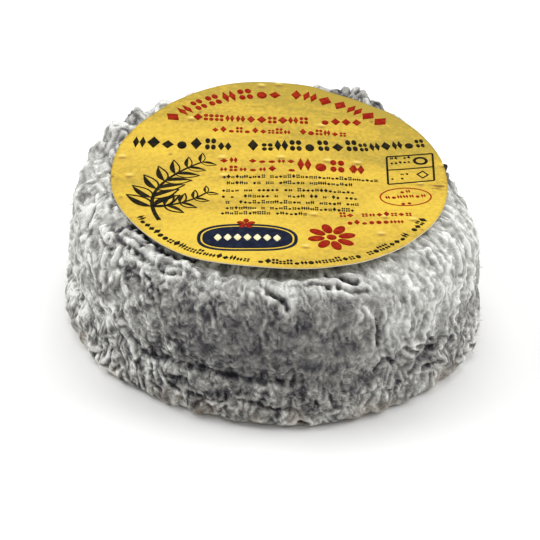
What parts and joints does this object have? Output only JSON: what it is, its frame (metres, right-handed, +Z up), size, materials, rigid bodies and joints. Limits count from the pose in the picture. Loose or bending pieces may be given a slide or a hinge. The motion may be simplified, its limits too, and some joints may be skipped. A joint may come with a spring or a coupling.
{
  "type": "ash-coated goat cheese",
  "caption": "Small round soft-ripened goat's milk cheese with a wrinkled ash-coated rind and a round printed paper label lying on top.",
  "frame": {"origin": "middle of the outline at the flat base, where the cheese rests", "axes": "+Z up through the top face; the side seen from the front faces -Y"},
  "size_m": [0.0826, 0.085, 0.0315],
  "materials": {
    "ash_rind": "matte, wrinkled grey mould rind over wood ash",
    "gold_paper": "satin yellow-gold printed paper"
  },
  "bodies": {
    "root": {"cheese": "ash_rind", "label": "gold_paper"}
  },
  "joints": []
}
